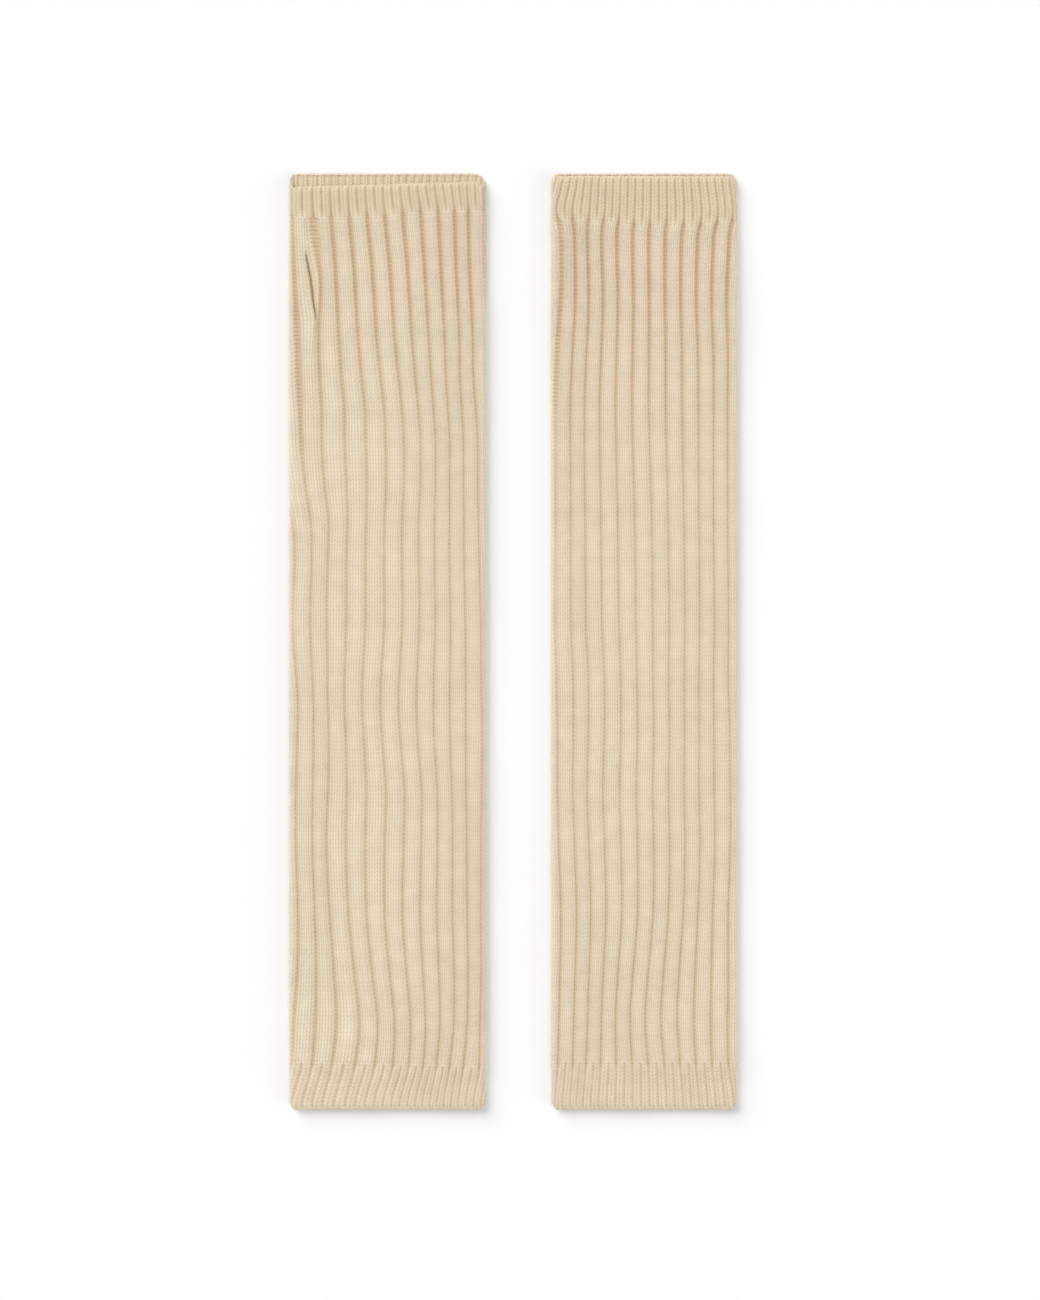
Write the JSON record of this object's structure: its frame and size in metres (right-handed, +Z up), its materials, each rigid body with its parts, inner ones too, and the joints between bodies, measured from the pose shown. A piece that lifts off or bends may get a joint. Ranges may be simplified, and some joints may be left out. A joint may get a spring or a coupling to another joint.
{
  "type": "pair of long fingerless gloves",
  "caption": "Pair of long fingerless gloves in ribbed wool, two flat knitted tubes side by side, open at both ends, each with a thumb slit.",
  "frame": {"origin": "centre of the pair's bounding box at its base, on the surface that both gloves lie on", "axes": "+X across the gloves to the right one as seen from above, +Y along the gloves from the arm end to the hand end, +Z up from the surface"},
  "size_m": [0.2203, 0.46, 0.0051],
  "materials": {
    "wool_knit": "matt cream ribbed wool knit"
  },
  "bodies": {
    "root": {"left_body": "wool_knit", "left_hand_cuff": "wool_knit", "left_arm_cuff": "wool_knit", "right_body": "wool_knit", "right_hand_cuff": "wool_knit", "right_arm_cuff": "wool_knit"}
  },
  "joints": []
}
